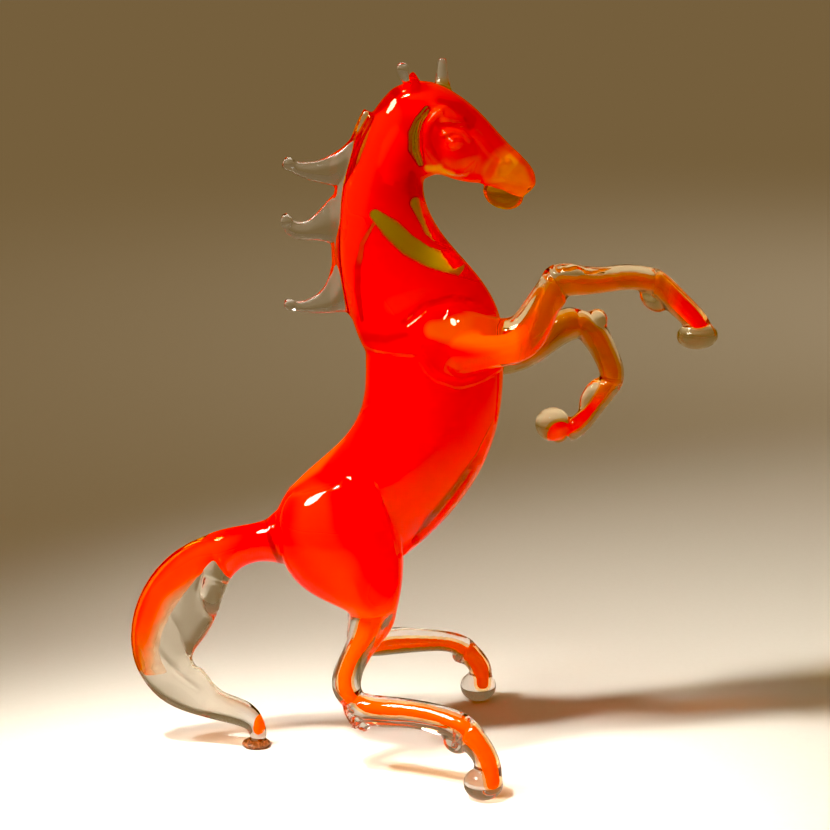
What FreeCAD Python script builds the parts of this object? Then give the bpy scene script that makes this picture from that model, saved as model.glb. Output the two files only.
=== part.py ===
"""Rearing horse figurine in lampworked glass, 116 mm tall.

The horse faces +X, its left side is +Y and +Z is up. The origin is on the table, under the middle of the figure.
It is built the way a lampworker builds it: gathers and cased rods of glass, each with a coloured core inside a
clear casing, fused to each other face to face. Nothing moves, so every seam is a fused one.
"""
import FreeCAD, Part
import math
import os

doc = FreeCAD.newDocument("rearing_horse")
sheet = doc.addObject("Spreadsheet::Sheet", "dimensions")

# Driving dimensions, in millimetres or as plain shares.
DRIVING = {
    "rod_roundness": 0.97,      # width of a drawn rod across the horse, over its width in side view
    "body_core_share": 0.9,     # coloured core of the barrel and neck, over the gather's own size
    "head_core_share": 0.86,
    "hoof_wide": 3.2,           # half width of a hoof bead pressed flat by its own weight
    "hoof_tall": 2.7,           # half height of the same bead
    "hoof_centre": 2.55,        # its centre above the table, which leaves a small flat underneath
    "eye_bead": 1.05,
    "table_depth": 10.0,        # block under the table plane that trims the feet flat
    "table_half": 100.0,
}

# A section is an ellipse that stands square to the side view. It is given by the two points where it meets the
# side outline, (ax, az) and (bx, bz), by its offset y from the mid-plane, and by its half width across the horse.
# A section with no half width belongs to a drawn rod, and takes it from rod_roundness.
BARREL = [
    (-8.6, 68.8, 14.1, 65.7, 0, 9.0),
    (-9.0, 60.7, 13.6, 59.0, 0, 9.2),
    (-11.5, 54.9, 11.9, 52.0, 0, 9.2),
    (-15.5, 50.8, 8.9, 46.0, 0, 9.0),
    (-19.5, 47.2, 4.7, 40.4, 0, 8.4),
    (-22.4, 43.8, -2.5, 33.7, 0, 7.4),
    (-23.8, 41.2, -12.3, 28.6, 0, 5.8),
]
NECK = [
    (-8.6, 68.8, 14.1, 65.7, 0, 9.0),
    (-10.9, 74.5, 13.3, 74.8, 0, 8.6),
    (-12.2, 80.5, 10.2, 80.6, 0, 7.4),
    (-12.6, 86.6, 5.4, 86.2, 0, 6.2),
    (-12.1, 93.6, 1.8, 91.7, 0, 5.4),
    (-10.7, 100.5, 0.8, 95.8, 0, 5.0),
    (-4.2, 111.7, 1.4, 97.3, 0, 4.7),
]
HEAD = [
    (-4.2, 111.7, 1.4, 97.3, 0, 4.7),
    (-2.4, 112.5, 1.6, 97.4, 0, 4.6),
    (1.9, 112.8, 3.2, 97.9, 0, 4.9),
    (5.5, 111.3, 4.5, 97.6, 0, 4.9),
    (9.2, 108.6, 6.0, 97.1, 0, 4.5),
    (12.3, 105.4, 8.5, 96.6, 0, 3.9),
    (15.1, 102.4, 11.1, 96.3, 0, 3.4),
    (17.4, 100.2, 12.9, 95.3, 0, 3.1),
    (19.0, 97.7, 15.0, 94.1, 0, 2.6),
    (18.7, 95.8, 17.3, 94.5, 0, 0.9),
]
TAIL_DOCK = [
    (-23.8, 41.2, -12.3, 28.6, 0, 5.8),
    (-25.1, 40.1, -19.4, 31.0, 0, 4.3),
    (-27.3, 39.2, -25.0, 32.8, 0, 3.2),
    (-31.0, 38.5, -29.4, 31.8, 0, 2.9),
    (-35.6, 37.1, -31.8, 29.1, 0, 2.8),
]
TAIL_PLUME = [
    (-35.6, 37.1, -31.8, 29.1, 0, 2.8),
    (-40.6, 34.5, -33.7, 24.2, 0, 2.8),
    (-45.6, 29.1, -35.8, 19.9, 0, 2.8),
    (-48.5, 20.3, -38.1, 16.6, 0, 2.7),
    (-47.0, 12.5, -37.3, 13.9, 0, 2.4),
]
TAIL_TIP = [
    (-47.0, 12.5, -37.3, 13.9, 0, 2.4),
    (-42.2, 7.4, -34.8, 11.3, 0, 2.1),
    (-36.3, 5.2, -31.1, 8.8, 0, 1.9),
    (-30.7, 3.8, -27.2, 6.3, 0, 1.7),
    (-28.9, 2.7, -25.9, 3.2, 0, 1.3),
    (-28.7, 1.1, -26.1, 0.9, 0, 1.2),
]
MANE_COMB = [
    (-8.8, 108.6, -7.1, 107.3, 0, 0.8),
    (-10.7, 104.4, -8.5, 103.3, 0, 0.9),
    (-12.2, 100.2, -9.6, 99.2, 0, 0.9),
    (-13.5, 95.6, -10.4, 95.3, 0, 0.9),
    (-14.1, 91.2, -10.8, 91.2, 0, 0.9),
    (-14.2, 86.6, -10.8, 86.6, 0, 0.9),
    (-13.8, 81.3, -10.5, 81.6, 0, 0.9),
    (-12.5, 76.6, -9.7, 77.5, 0, 0.9),
    (-10.7, 73.8, -8.9, 75.0, 0, 0.8),
]
MANE_LOCKS = {
    "mane_lock_upper": [
        (-9.1, 106.2, -12.6, 96.0, 0, 1.0),
        (-11.6, 103.0, -14.3, 96.1, 0, 0.9),
        (-14.5, 100.8, -16.3, 96.6, 0, 0.8),
        (-17.9, 99.8, -18.9, 97.4, 0, 0.7),
        (-20.2, 100.0, -20.7, 98.4, 0, 0.6),
        (-21.3, 100.5, -21.8, 99.2, 0, 0.5),
    ],
    "mane_lock_middle": [
        (-12.7, 95.4, -13.1, 86.6, 0, 1.0),
        (-14.5, 93.8, -14.7, 86.7, 0, 0.9),
        (-16.7, 91.3, -16.9, 87.1, 0, 0.8),
        (-19.0, 90.0, -19.3, 87.2, 0, 0.75),
        (-20.8, 90.5, -21.3, 88.1, 0, 0.7),
        (-21.7, 91.3, -22.2, 89.7, 0, 0.6),
    ],
    "mane_lock_lower": [
        (-13.1, 85.7, -10.9, 75.1, 0, 1.0),
        (-14.4, 81.8, -13.2, 75.1, 0, 0.9),
        (-16.1, 78.5, -15.8, 75.0, 0, 0.8),
        (-18.4, 77.1, -18.4, 75.1, 0, 0.7),
        (-20.4, 76.8, -20.6, 75.5, 0, 0.6),
        (-21.5, 77.1, -21.7, 76.0, 0, 0.5),
    ],
}
EARS = {
    "right_ear": [
        (-2.6, 112.0, -0.9, 112.4, -2.6),
        (-2.9, 113.8, -1.5, 114.1, -3.0),
        (-3.4, 115.1, -1.6, 115.4, -3.2),
        (-3.1, 116.1, -1.9, 116.1, -3.3),
    ],
    "left_ear": [
        (2.3, 111.6, 6.2, 110.0, 2.6),
        (2.9, 113.2, 5.0, 112.7, 3.2),
        (3.1, 114.8, 4.7, 114.6, 3.6),
        (3.4, 116.3, 4.5, 116.3, 3.7),
    ],
}
# The limbs, from the body outwards. Each rod starts on the section where the one before it ends.
LIMBS = {
    "right_forearm": [
        (2.3, 77.7, 0.3, 69.1, -3.5, 4.0),
        (6.0, 77.5, 4.1, 66.2, -6.0, 4.6),
        (10.0, 76.1, 8.9, 66.3, -7.4, 4.4),
        (13.5, 75.4, 13.8, 67.7, -8.2),
        (15.1, 75.8, 17.8, 69.1, -8.8),
        (16.7, 77.7, 21.3, 73.3, -9.2),
        (18.6, 80.6, 22.8, 77.2, -9.5),
        (20.3, 83.6, 23.9, 79.4, -9.6),
    ],
    "right_fore_cannon": [
        (20.3, 83.6, 23.9, 79.4, -9.6),
        (23.9, 84.7, 24.6, 79.5, -9.6),
        (27.5, 84.1, 27.6, 79.7, -9.5),
        (32.3, 84.4, 32.4, 80.3, -9.4),
        (36.0, 84.2, 35.6, 80.3, -9.3),
        (38.6, 83.7, 37.2, 79.8, -9.2),
    ],
    "right_fore_pastern": [
        (38.6, 83.7, 37.2, 79.8, -9.2),
        (41.1, 81.7, 38.3, 78.8, -9.0),
        (44.1, 78.7, 41.1, 76.0, -8.8),
        (46.4, 76.1, 43.1, 74.0, -8.6),
        (47.3, 74.5, 43.6, 73.0, -8.5),
    ],
    "left_forearm": [
        (4.6, 73.6, 4.4, 65.0, 3.4, 4.0),
        (9.2, 72.2, 9.0, 64.0, 5.6, 4.0),
        (14.3, 70.5, 14.3, 63.3, 7.4),
        (18.0, 70.8, 18.9, 64.4, 8.2),
        (20.6, 71.6, 22.6, 66.7, 8.6),
        (23.4, 73.7, 25.3, 68.5, 8.8),
        (26.7, 74.1, 27.3, 69.2, 9.0),
    ],
    "left_fore_cannon": [
        (26.7, 74.1, 27.3, 69.2, 9.0),
        (31.3, 71.7, 27.5, 68.8, 9.0),
        (33.4, 67.8, 29.4, 66.0, 9.1),
        (34.8, 63.8, 30.6, 63.5, 9.2),
        (34.5, 60.9, 31.0, 62.2, 9.2),
    ],
    "left_fore_pastern": [
        (34.5, 60.9, 31.0, 62.2, 9.2),
        (32.7, 58.3, 29.6, 59.8, 9.1),
        (30.9, 55.9, 28.0, 57.4, 9.0),
        (28.9, 53.3, 26.0, 55.4, 9.0),
        (26.2, 51.4, 24.3, 54.8, 9.0),
    ],
    "right_gaskin": [
        (-11.1, 25.2, -3.6, 26.2, -8.2, 3.6),
        (-11.6, 22.2, -5.3, 22.4, -9.3),
        (-13.4, 18.3, -8.4, 18.3, -11.0),
        (-14.2, 15.1, -9.4, 15.6, -12.4),
        (-12.4, 11.8, -9.1, 13.9, -13.2),
    ],
    "right_hind_cannon": [
        (-12.4, 11.8, -9.1, 13.9, -13.2),
        (-8.9, 9.0, -7.6, 13.8, -14.2),
        (-3.8, 9.2, -3.4, 14.1, -16.6),
        (1.1, 9.6, 1.9, 14.2, -19.4),
        (4.6, 9.2, 6.4, 13.7, -22.0),
        (6.4, 8.4, 8.7, 12.9, -23.0),
    ],
    "right_hind_pastern": [
        (6.4, 8.4, 8.7, 12.9, -23.0),
        (7.7, 7.4, 10.7, 10.6, -23.8),
        (9.0, 5.7, 12.7, 7.4, -24.6),
        (9.5, 3.3, 13.5, 3.8, -25.0),
        (9.8, 1.9, 13.0, 1.9, -25.0),
    ],
    "left_gaskin": [
        (-11.9, 22.5, -3.6, 23.5, 8.2, 3.6),
        (-12.1, 20.0, -5.2, 20.0, 9.3),
        (-12.3, 16.9, -6.9, 17.3, 11.0),
        (-12.2, 14.2, -7.9, 15.6, 12.4),
        (-10.6, 12.1, -7.6, 15.2, 13.2),
    ],
    "left_hind_cannon": [
        (-10.6, 12.1, -7.6, 15.2, 13.2),
        (-7.3, 11.7, -6.4, 16.2, 14.2),
        (-2.8, 11.4, -2.8, 16.0, 16.6),
        (2.2, 10.9, 2.3, 14.8, 19.4),
        (5.7, 9.9, 6.6, 13.4, 22.0),
        (7.6, 8.3, 9.7, 11.8, 23.0),
    ],
    "left_hind_pastern": [
        (7.6, 8.3, 9.7, 11.8, 23.0),
        (8.6, 6.8, 11.9, 9.0, 23.8),
        (9.4, 5.3, 13.2, 6.1, 24.6),
        (9.8, 3.3, 13.2, 3.3, 25.0),
        (9.9, 2.2, 13.0, 2.2, 25.0),
    ],
}
THIGHS = {
    "right_thigh": [
        (-21.2, 45.0, -7.6, 50.0, -4.2, 4.0),
        (-22.9, 41.0, -3.8, 43.6, -5.5, 5.4),
        (-22.2, 34.2, -2.7, 37.7, -5.8, 5.6),
        (-17.9, 29.2, -2.5, 33.3, -6.3, 5.0),
        (-12.9, 26.9, -2.8, 30.0, -7.2, 4.4),
        (-11.1, 25.2, -3.6, 26.2, -8.2, 3.6),
    ],
    "left_thigh": [
        (-21.5, 44.6, -8.1, 49.4, 4.2, 4.0),
        (-23.0, 40.0, -4.7, 42.7, 5.5, 5.4),
        (-22.4, 33.2, -3.0, 36.7, 5.8, 5.6),
        (-18.4, 27.7, -2.5, 31.6, 6.3, 5.0),
        (-13.7, 24.9, -2.7, 27.8, 7.2, 4.4),
        (-11.9, 22.5, -3.6, 23.5, 8.2, 3.6),
    ],
}
# Share of the casing that a rod's core fills, and how far it sits towards the rod's (bx, bz) side.
ROD_CORES = {
    "right_forearm": (0.42, 0.2), "right_fore_cannon": (0.3, 0.22), "right_fore_pastern": (0.42, -0.03),
    "left_forearm": (0.42, -0.06), "left_fore_cannon": (0.4, 0.06), "left_fore_pastern": (0.38, 0.2),
    "right_gaskin": (0.33, -0.08), "right_hind_cannon": (0.3, 0.16), "right_hind_pastern": (0.42, 0.05),
    "left_gaskin": (0.33, 0.0), "left_hind_cannon": (0.28, -0.16), "left_hind_pastern": (0.44, 0.0),
}
TAIL_CORES = {"tail_dock": (0.8, -0.05), "tail_plume": (0.42, -0.46)}
# Pressed and dropped beads: centre, half sizes along x, y and z, and tilt in the side view, in degrees.
BEADS = {
    "right_cheek": ((6.2, -2.3, 103.0), (4.3, 3.5, 5.2), 20),
    "left_cheek": ((6.2, 2.3, 103.0), (4.3, 3.5, 5.2), 20),
    "chin": ((13.9, 0, 94.7), (3.3, 2.4, 2.4), -20),
    "right_knee_bead": ((24.1, -10.9, 82.9), (2.2, 1.6, 1.8), 25),
    "left_knee_bead": ((30.2, 9.0, 72.2), (1.7, 2.0, 1.9), 0),
    "right_fore_fetlock_web": ((37.8, -9.2, 78.8), (2.6, 1.2, 1.7), -42),
    "left_fore_fetlock_web": ((29.3, 9.2, 59.2), (1.5, 1.4, 3.4), -27),
    "right_hind_fetlock_web": ((6.0, -22.9, 8.6), (2.2, 1.3, 1.6), -38),
    "left_hind_fetlock_web": ((7.6, 22.9, 8.9), (1.5, 1.2, 1.4), -30),
    "right_hock_spur": ((-10.0, -13.6, 9.9), (3.1, 1.5, 1.5), -48),
    "right_fore_hoof": ((45.1, -8.5, 72.7), (3.35, 3.2, 2.15), 3),
    "left_fore_hoof": ((22.9, 9.0, 54.3), (2.95, 3.1, 2.85), 0),
}
# The feet that the figure stands on: centre (x, y), half width and half height, and the centre's height.
HIND_HOOVES = {"right_hind_hoof": (10.5, -25.0), "left_hind_hoof": (10.9, 25.0)}
TAIL_FOOT = {"x": -27.6, "wide": 2.45, "tall": 0.95, "centre": 0.5}
EYES = {"right_eye": (5.9, -5.1, 103.6), "left_eye": (5.9, 5.1, 103.6)}

parts = []
row = 0


def cell(alias, value):
    """Writes one named number into the sheet and returns how an expression refers to it."""
    global row
    row += 1
    sheet.set(f"A{row}", alias)
    sheet.set(f"B{row}", repr(float(value)))
    sheet.setAlias(f"B{row}", alias)
    return f"dimensions.{alias}"


def bind(thing, **expressions):
    for path, expression in expressions.items():
        thing.setExpression(path.replace("__", "."), expression)
    return thing


def section(name, spec, share="1", shift="0"):
    """One ellipse of a loft. share shrinks it, and shift moves its centre towards the (bx, bz) side."""
    keys = ("ax", "az", "bx", "bz", "y", "wide")
    known = {key: f"dimensions.{name}_{key}" for key in keys}
    ring = doc.addObject("Part::Ellipse", "ring")
    ring.Placement = FreeCAD.Placement(FreeCAD.Vector(), FreeCAD.Rotation(FreeCAD.Vector(0, -1, 0), 0))
    run_x = f"({known['bx']} - {known['ax']})"
    run_z = f"({known['bz']} - {known['az']})"
    half = f"0.5 * sqrt({run_x} * {run_x} + {run_z} * {run_z})"
    wide = known["wide"] if len(spec) == len(keys) else f"dimensions.rod_roundness * {half}"
    middle = f"(0.5 + 0.5 * ({shift}))"
    return bind(
        ring,
        MajorRadius=f"({share}) * {half}",
        MinorRadius=f"({share}) * {wide}",
        Placement__Base__x=f"{known['ax']} + {run_x} * {middle}",
        Placement__Base__y=known["y"],
        Placement__Base__z=f"{known['az']} + {run_z} * {middle}",
        Placement__Rotation__Angle=f"atan2({run_z}; {run_x})",
    )


def write_stations(name, stations):
    for number, spec in enumerate(stations):
        for key, value in zip(("ax", "az", "bx", "bz", "y", "wide"), spec):
            cell(f"{name}_{number}_{key}", value)


def loft(name, stations, label=None, count=None, share="1", shift="0"):
    """A smooth solid through the first count sections of a gather or rod."""
    body = doc.addObject("Part::Loft", label or f"{name}_outer")
    chosen = stations[:count] if count else stations
    body.Sections = [section(f"{name}_{i}", spec, share, shift) for i, spec in enumerate(chosen)]
    body.Solid = True
    return body


def cut(base, *tools):
    """base without the glass that each tool already fills."""
    for tool in tools:
        trimmed = doc.addObject("Part::Cut", "trimmed")
        trimmed.Base = base
        trimmed.Tool = tool
        base = trimmed
    return base


def ellipsoid(name, centre, half, tilt=0, poles_crosswise=False):
    """A bead; half is its half size along x, y and z before the tilt about the horse's crosswise axis.

    A bead that a rod enters from above has its poles across the horse and its seam underneath, clear of the rod.
    """
    refs = [cell(f"{name}_{key}", value) for key, value in zip(("x", "y", "z"), centre)]
    sizes = [cell(f"{name}_{key}", value) for key, value in zip(("long", "wide", "tall"), half)]
    bead = doc.addObject("Part::Ellipsoid", f"{name}_bead")
    turn = FreeCAD.Rotation(FreeCAD.Vector(0, -1, 0), tilt)
    along, across, tall = sizes
    radii = (tall, along, across)
    if poles_crosswise:
        laid_over = FreeCAD.Rotation(FreeCAD.Vector(1, 0, 0), 90)
        seam_down = FreeCAD.Rotation(FreeCAD.Vector(0, 0, 1), -90)
        turn = turn * laid_over * seam_down
        radii = (across, tall, along)
    bead.Placement = FreeCAD.Placement(FreeCAD.Vector(), turn)
    return bind(
        bead,
        Radius1=radii[0],
        Radius2=radii[1],
        Radius3=radii[2],
        Placement__Base__x=refs[0],
        Placement__Base__y=refs[1],
        Placement__Base__z=refs[2],
    )


def keep(thing, label):
    """Marks thing as a finished piece of the figure."""
    thing.Label = label
    parts.append(thing)
    return thing


def table_block():
    """Everything below the table plane, which flattens the feet."""
    block = doc.addObject("Part::Box", "table")
    return bind(
        block,
        Length="2 * dimensions.table_half",
        Width="2 * dimensions.table_half",
        Height="dimensions.table_depth",
        Placement__Base__x="-dimensions.table_half",
        Placement__Base__y="-dimensions.table_half",
        Placement__Base__z="-dimensions.table_depth",
    )


def build_body():
    """Barrel and neck: each a clear casing round a red core, meeting at the chest seam."""
    outers = {}
    for name, stations in (("barrel", BARREL), ("neck", NECK)):
        write_stations(name, stations)
        outer = loft(name, stations)
        core = keep(loft(name, stations, f"{name}_core", share="dimensions.body_core_share"), f"{name}_core")
        keep(cut(outer, core), f"{name}_casing")
        outers[name] = outer
    return outers


def build_head(outers):
    """Amber head with a red core that ends short of the muzzle, and its cheeks, chin, eyes and ears."""
    write_stations("head", HEAD)
    outer = loft("head", HEAD)
    core_sections = 8
    core = keep(loft("head", HEAD, "head_core", core_sections, "dimensions.head_core_share"), "head_core")
    keep(cut(outer, core), "head_casing")
    outers["head"] = outer
    for side in ("right", "left"):
        cheek_bead = ellipsoid(f"{side}_cheek", *BEADS[f"{side}_cheek"])
        keep(cut(cheek_bead, outer, outers["neck"]), f"{side}_cheek")
        eye_bead = ellipsoid(f"{side}_eye", EYES[f"{side}_eye"], (DRIVING["eye_bead"],) * 3)
        keep(cut(eye_bead, outer, cheek_bead), f"{side}_eye")
        name = f"{side}_ear"
        write_stations(name, EARS[name])
        keep(cut(loft(name, EARS[name]), outer, outers["neck"]), name)
    keep(cut(ellipsoid("chin", *BEADS["chin"]), outer), "chin")


def build_mane(outers):
    """A clear comb along the crest and the three pulled locks on it."""
    write_stations("mane_comb", MANE_COMB)
    comb = loft("mane_comb", MANE_COMB)
    keep(cut(comb, outers["neck"], outers["head"]), "mane_comb")
    for name, stations in MANE_LOCKS.items():
        write_stations(name, stations)
        keep(cut(loft(name, stations), comb, outers["neck"]), name)


def build_rod(name, neighbours=()):
    """A cased rod: clear outside, coloured core inside, trimmed by the gathers that it is fused to."""
    write_stations(name, LIMBS[name])
    share = cell(f"{name}_core_share", ROD_CORES[name][0])
    shift = cell(f"{name}_core_shift", ROD_CORES[name][1])
    outer = loft(name, LIMBS[name])
    core = loft(name, LIMBS[name], f"{name}_core_rod", share=share, shift=shift)
    keep(cut(core, *neighbours), f"{name}_core")
    keep(cut(outer, *neighbours, core), f"{name}_casing")
    return outer


def build_foreleg(side, outers):
    forearm = build_rod(f"{side}_forearm", (outers["neck"], outers["barrel"]))
    cannon = build_rod(f"{side}_fore_cannon")
    pastern = build_rod(f"{side}_fore_pastern")
    for name, neighbours in (
        (f"{side}_knee_bead", (forearm, cannon)),
        (f"{side}_fore_fetlock_web", (cannon, pastern)),
    ):
        keep(cut(ellipsoid(name, *BEADS[name]), *neighbours), name)
    hoof = f"{side}_fore_hoof"
    keep(cut(ellipsoid(hoof, *BEADS[hoof], poles_crosswise=True), pastern), hoof)


def build_hind_leg(side, outers, table):
    thigh_name = f"{side}_thigh"
    write_stations(thigh_name, THIGHS[thigh_name])
    keep(cut(loft(thigh_name, THIGHS[thigh_name]), outers["barrel"]), thigh_name)
    gaskin = build_rod(f"{side}_gaskin")
    cannon = build_rod(f"{side}_hind_cannon")
    pastern = build_rod(f"{side}_hind_pastern")
    for name, neighbours in (
        (f"{side}_hock_spur", (gaskin, cannon)),
        (f"{side}_hind_fetlock_web", (cannon, pastern)),
    ):
        if name in BEADS:
            keep(cut(ellipsoid(name, *BEADS[name]), *neighbours), name)
    name = f"{side}_hind_hoof"
    x, y = HIND_HOOVES[name]
    wide, tall = DRIVING["hoof_wide"], DRIVING["hoof_tall"]
    bead = ellipsoid(name, (x, y, DRIVING["hoof_centre"]), (wide, wide, tall))
    keep(cut(bead, pastern, table), name)


def build_tail(table):
    """The dock and the flattened plume with their red streak, the clear hooked tip, and the foot it stands in."""
    outers = {}
    for name, stations in (("tail_dock", TAIL_DOCK), ("tail_plume", TAIL_PLUME), ("tail_tip", TAIL_TIP)):
        write_stations(name, stations)
        outer = outers[name] = loft(name, stations)
        if name in TAIL_CORES:
            share = cell(f"{name}_core_share", TAIL_CORES[name][0])
            shift = cell(f"{name}_core_shift", TAIL_CORES[name][1])
            core = keep(loft(name, stations, f"{name}_core", share=share, shift=shift), f"{name}_core")
            outer = cut(outer, core)
        keep(outer, f"{name}_casing")
    wide, tall = TAIL_FOOT["wide"], TAIL_FOOT["tall"]
    foot = ellipsoid("tail_foot", (TAIL_FOOT["x"], 0, TAIL_FOOT["centre"]), (wide, wide, tall))
    keep(cut(foot, outers["tail_tip"], table), "tail_foot")


def check(things):
    """Stops if any object failed or any piece is missing, broken or not made of closed solids."""
    failed = [o.Name for o in doc.Objects if "Invalid" in o.State or "Error" in o.State]
    if failed:
        raise RuntimeError(f"failed objects: {failed}")
    for thing in things:
        shape = thing.Shape
        if shape.isNull() or not shape.isValid() or not shape.Solids:
            raise RuntimeError(f"{thing.Label} is not a valid solid")


for key, value in DRIVING.items():
    cell(key, value)
body_outers = build_body()
build_head(body_outers)
build_mane(body_outers)
table = table_block()
for side in ("right", "left"):
    build_foreleg(side, body_outers)
    build_hind_leg(side, body_outers, table)
build_tail(table)
doc.recompute()
check(parts)

os.makedirs("parts", exist_ok=True)
for piece in parts:
    piece.Shape.exportStep(f"parts/{piece.Label}.step")
    size = piece.Shape.BoundBox
    print(f"{piece.Label:28s} solids {len(piece.Shape.Solids)}  volume {piece.Shape.Volume:9.2f} mm3"
          f"  x {size.XMin:6.1f} {size.XMax:6.1f}  y {size.YMin:6.1f} {size.YMax:6.1f}"
          f"  z {size.ZMin:6.1f} {size.ZMax:6.1f}")
whole = FreeCAD.BoundBox()
for piece in parts:
    whole.add(piece.Shape.BoundBox)
print(f"{len(parts)} pieces; x {whole.XMin:.2f} {whole.XMax:.2f}, y {whole.YMin:.2f} {whole.YMax:.2f}, "
      f"z {whole.ZMin:.2f} {whole.ZMax:.2f}")
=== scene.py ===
"""The looks of the rearing horse figurine: fused, clear lampworked glass over a red-orange coloured core.

The CAD solids give every shape and place. Their outer surfaces are melted into one smooth skin of clear
glass, which is then divided into one piece for each gather or rod that it was built from. The coloured glass
inside is made the same way from the CAD cores. Places in tables are in millimetres, Blender's own in metres.
"""
import math

import bpy
import numpy as np
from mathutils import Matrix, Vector, noise
from mathutils.bvhtree import BVHTree


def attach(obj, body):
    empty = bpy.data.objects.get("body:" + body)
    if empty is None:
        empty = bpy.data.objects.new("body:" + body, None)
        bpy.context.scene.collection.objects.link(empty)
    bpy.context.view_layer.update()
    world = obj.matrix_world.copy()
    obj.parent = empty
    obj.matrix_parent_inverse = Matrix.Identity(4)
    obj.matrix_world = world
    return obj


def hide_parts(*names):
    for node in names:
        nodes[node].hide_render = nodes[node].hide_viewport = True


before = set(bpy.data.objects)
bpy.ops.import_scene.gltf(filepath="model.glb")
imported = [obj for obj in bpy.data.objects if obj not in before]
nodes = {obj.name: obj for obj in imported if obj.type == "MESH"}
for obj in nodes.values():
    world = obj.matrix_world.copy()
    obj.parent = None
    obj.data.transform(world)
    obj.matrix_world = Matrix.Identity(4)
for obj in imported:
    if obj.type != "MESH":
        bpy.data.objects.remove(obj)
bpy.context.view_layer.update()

MM = 0.001
CORES = sorted(name for name in nodes if name.endswith("_core"))
SKIN_NODES = sorted(name for name in nodes if not name.endswith("_core") and name != "tail_foot")
# The gathers whose colour follows their own outside, under a thin clear coat.
GATHERS = ("barrel_casing", "neck_casing", "head_casing", "right_cheek", "left_cheek", "right_thigh",
           "left_thigh", "tail_dock_casing")

# Millimetres, unless a comment says otherwise.
SKIN_VOXEL = 0.25       # cell of the clear skin's surface
CORE_VOXEL = 0.3        # cell of the coloured core's surface
FOOT_VOXEL = 0.08       # cell of the tail foot's surface
COAT_DEPTH = 0.6        # how deep the colour lies under a gather's outside
CORE_TOOLING = 0.6      # how much of a tool mark on the skin reaches the colour (share)
SKIN_GROWTH = 0.08      # how far the flowed skin is let out, to make up for what the flow takes in
DROP_GROWTH = 0.35      # how much further the ends of the mane's locks are let out
HALO_DEPTH = 0.5        # how far the thin outer layer of a leg's colour lies outside the CAD core
MIDDLE_DEPTH = 0.12     # how far the dense middle of a leg's colour lies outside the CAD core
FLAT_TAIL = 0.5         # how much thinner the tail plume is pressed (share)
FLAT_MANE = 0.5         # how much thinner the mane is pressed (share)
MANE_TIPS = [(-21.3, 0, 99.8), (-21.7, 0, 90.5), (-21.3, 0, 76.5)]     # the drops at the ends of the locks

LOCK = (-1.0, -1.6, 112.2)      # where the forelock is pulled up
LOCK_REACH = 1.5                # how far round that place the glass follows
LOCK_LEAN = 0.4                 # how far forward the lock leans for each step up (ratio)
LOCK_RISE = 2.0

SPUR = (-10.6, -14.2, 8.9)      # the middle of the chipped spur on the right hock
SPUR_REACH = (1.2, 3.2)         # the chips are full up to the first distance, and end at the second
CHIP_HEIGHT = 0.9
CHIP_SCALE = 1100               # how fine the chips are, per metre
CHIP_SEED = 1
noise.seed_set(CHIP_SEED)       # otherwise the clock seeds this noise, and the chips change from run to run

HOOF_DROP = (23.8, 9, 53.0)     # the middle of the red drop inside the left fore hoof
HOOF_DROP_RADIUS = 1.45
HOOK_DROP = (0.4, 0, 3.2)       # from the tail foot's middle to that of the orange drop in the tail's hook
HOOK_DROP_RADIUS = 1.0
HOOK_DROP_TALLNESS = 1.8        # its height over its width (ratio)

BUBBLE_DEPTH = 0.35             # how deep a bubble lies under the skin
BUBBLE_RADII = (0.06, 0.15)
BUBBLE_SCATTER = 0.5            # how far the bubbles stray from their route
# A row for each group of bubbles: name, route of (x, z) in the side view, number of bubbles and seed.
BUBBLES = [
    ("neck_bubbles", [(-6.0, 107.6), (-9.6, 101.0), (-11.0, 92.0), (-9.6, 84.0), (-6.0, 72.0)], 34, 3),
    ("body_bubbles", [(-4.0, 69.6), (0.4, 69.8), (3.6, 65.4), (6.0, 58.0), (2.0, 48.0)], 18, 5),
    ("head_bubbles", [(0.0, 110.0), (0.2, 103.0), (1.6, 99.0)], 10, 7),
]

# ---------------------------------------------------------------- mesh helpers


def places_of(mesh):
    """Vertex places as an N x 3 array."""
    places = np.empty(len(mesh.vertices) * 3, np.float32)
    mesh.vertices.foreach_get("co", places)
    return places.reshape(-1, 3).astype(float)


def normals_of(mesh):
    """Vertex normals as an N x 3 array."""
    normals = np.empty(len(mesh.vertices) * 3, np.float32)
    mesh.vertices.foreach_get("normal", normals)
    return normals.reshape(-1, 3).astype(float)


def set_places(mesh, places):
    mesh.vertices.foreach_set("co", places.astype(np.float32).ravel())
    mesh.update()


def new_object(name, mesh):
    thing = bpy.data.objects.new(name, mesh)
    bpy.context.scene.collection.objects.link(thing)
    return thing


def mesh_object(name, places, faces):
    mesh = bpy.data.meshes.new(name)
    mesh.from_pydata(places.tolist(), [], faces.tolist() if hasattr(faces, "tolist") else faces)
    return new_object(name, mesh)


def applied(thing):
    """Replaces the object's mesh with the one its modifiers make."""
    bpy.context.view_layer.update()
    graph = bpy.context.evaluated_depsgraph_get()
    made = bpy.data.meshes.new_from_object(thing.evaluated_get(graph))
    old = thing.data
    thing.modifiers.clear()
    thing.data = made
    bpy.data.meshes.remove(old)
    return thing


def quads_of(mesh):
    """Faces of a remeshed surface as an N x 4 array."""
    faces = np.empty(len(mesh.polygons) * 4, np.int32)
    mesh.polygons.foreach_get("vertices", faces)
    return faces.reshape(-1, 4)


def triangles_of(mesh):
    """Faces cut into triangles as an N x 3 array."""
    mesh.calc_loop_triangles()
    corners = np.empty(len(mesh.loop_triangles) * 3, np.int32)
    mesh.loop_triangles.foreach_get("vertices", corners)
    return corners.reshape(-1, 3)


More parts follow.
